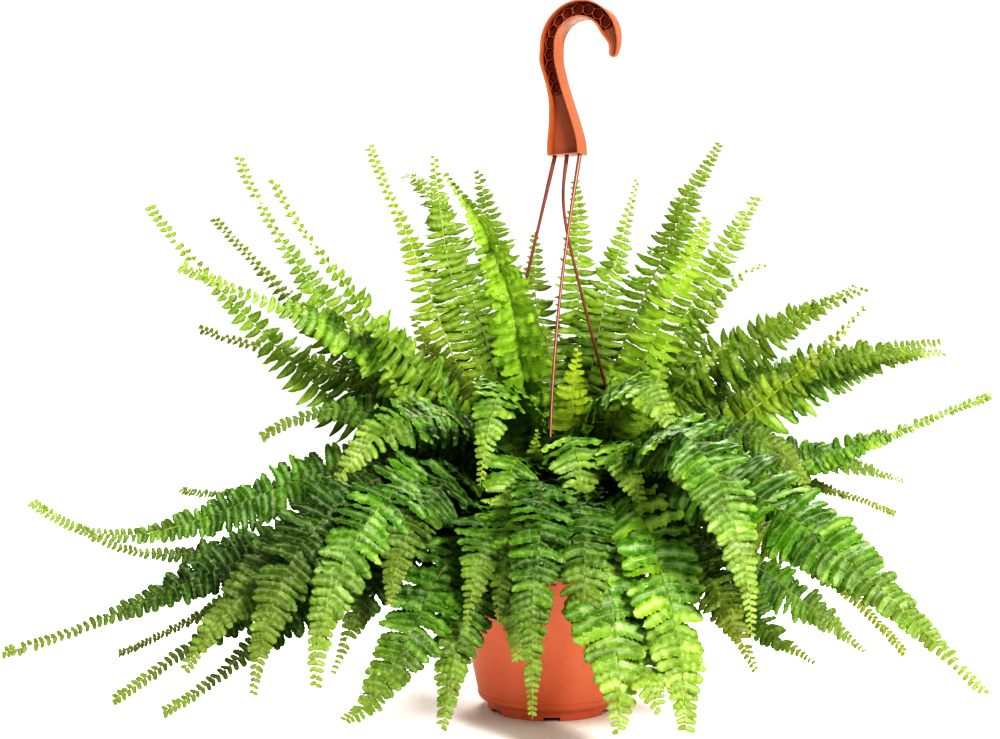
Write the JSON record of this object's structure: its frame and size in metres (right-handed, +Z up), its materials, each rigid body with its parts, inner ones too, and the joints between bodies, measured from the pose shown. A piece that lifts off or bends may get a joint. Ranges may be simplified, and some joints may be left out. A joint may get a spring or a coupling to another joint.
{
  "type": "potted fern",
  "caption": "Boston fern with arching fronds in a tapered plastic hanging pot that stands on its foot, with a moulded hook and slack strands above.",
  "frame": {"origin": "under the middle of the whole plant's box, on the plane of the pot's foot", "axes": "+Z up along the pot, +X to the right and +Y away from the viewer as the plant is seen in the picture"},
  "size_m": [0.7752, 0.6042, 0.5793],
  "materials": {
    "pot_plastic": "satin terracotta orange moulded plastic",
    "soil": "dark crumbly potting mix",
    "hook_plastic": "orange moulded plastic, darker in the recesses",
    "strand_plastic": "red-brown moulded plastic",
    "fronds_bright": "fresh green leaf, waxy",
    "fronds_deep": "dark green leaf, waxy",
    "fronds_young": "young yellow-green leaf",
    "fronds_olive": "ageing olive leaf"
  },
  "bodies": {
    "root": {"pot": "pot_plastic", "soil": "soil", "hook": "hook_plastic", "strand_1": "strand_plastic", "strand_2": "strand_plastic", "strand_3": "strand_plastic", "frond_01": "fronds_bright", "frond_02": "fronds_deep", "frond_03": "fronds_bright", "frond_04": "fronds_deep", "frond_05": "fronds_bright", "frond_06": "fronds_deep", "frond_07": "fronds_deep", "frond_08": "fronds_bright", "frond_09": "fronds_bright", "frond_10": "fronds_young", "frond_11": "fronds_bright", "frond_12": "fronds_olive", "frond_13": "fronds_young", "frond_14": "fronds_bright", "frond_15": "fronds_bright", "frond_16": "fronds_bright", "frond_17": "fronds_bright", "frond_18": "fronds_bright", "frond_19": "fronds_deep", "frond_20": "fronds_bright", "frond_21": "fronds_bright", "frond_22": "fronds_bright", "frond_23": "fronds_deep", "frond_24": "fronds_deep", "frond_25": "fronds_bright", "frond_26": "fronds_bright", "frond_27": "fronds_deep", "frond_28": "fronds_bright", "frond_29": "fronds_deep", "frond_30": "fronds_bright", "frond_31": "fronds_deep", "frond_32": "fronds_bright", "frond_33": "fronds_deep", "frond_34": "fronds_bright", "frond_35": "fronds_deep", "frond_36": "fronds_bright", "frond_37": "fronds_bright", "frond_38": "fronds_olive", "frond_39": "fronds_bright", "frond_40": "fronds_deep", "frond_41": "fronds_olive", "frond_42": "fronds_young", "frond_43": "fronds_deep", "frond_44": "fronds_bright", "frond_45": "fronds_deep", "frond_46": "fronds_deep", "frond_47": "fronds_bright", "frond_48": "fronds_deep", "frond_49": "fronds_deep", "frond_50": "fronds_deep", "frond_51": "fronds_bright", "frond_52": "fronds_deep", "frond_53": "fronds_bright", "frond_54": "fronds_deep"}
  },
  "joints": []
}
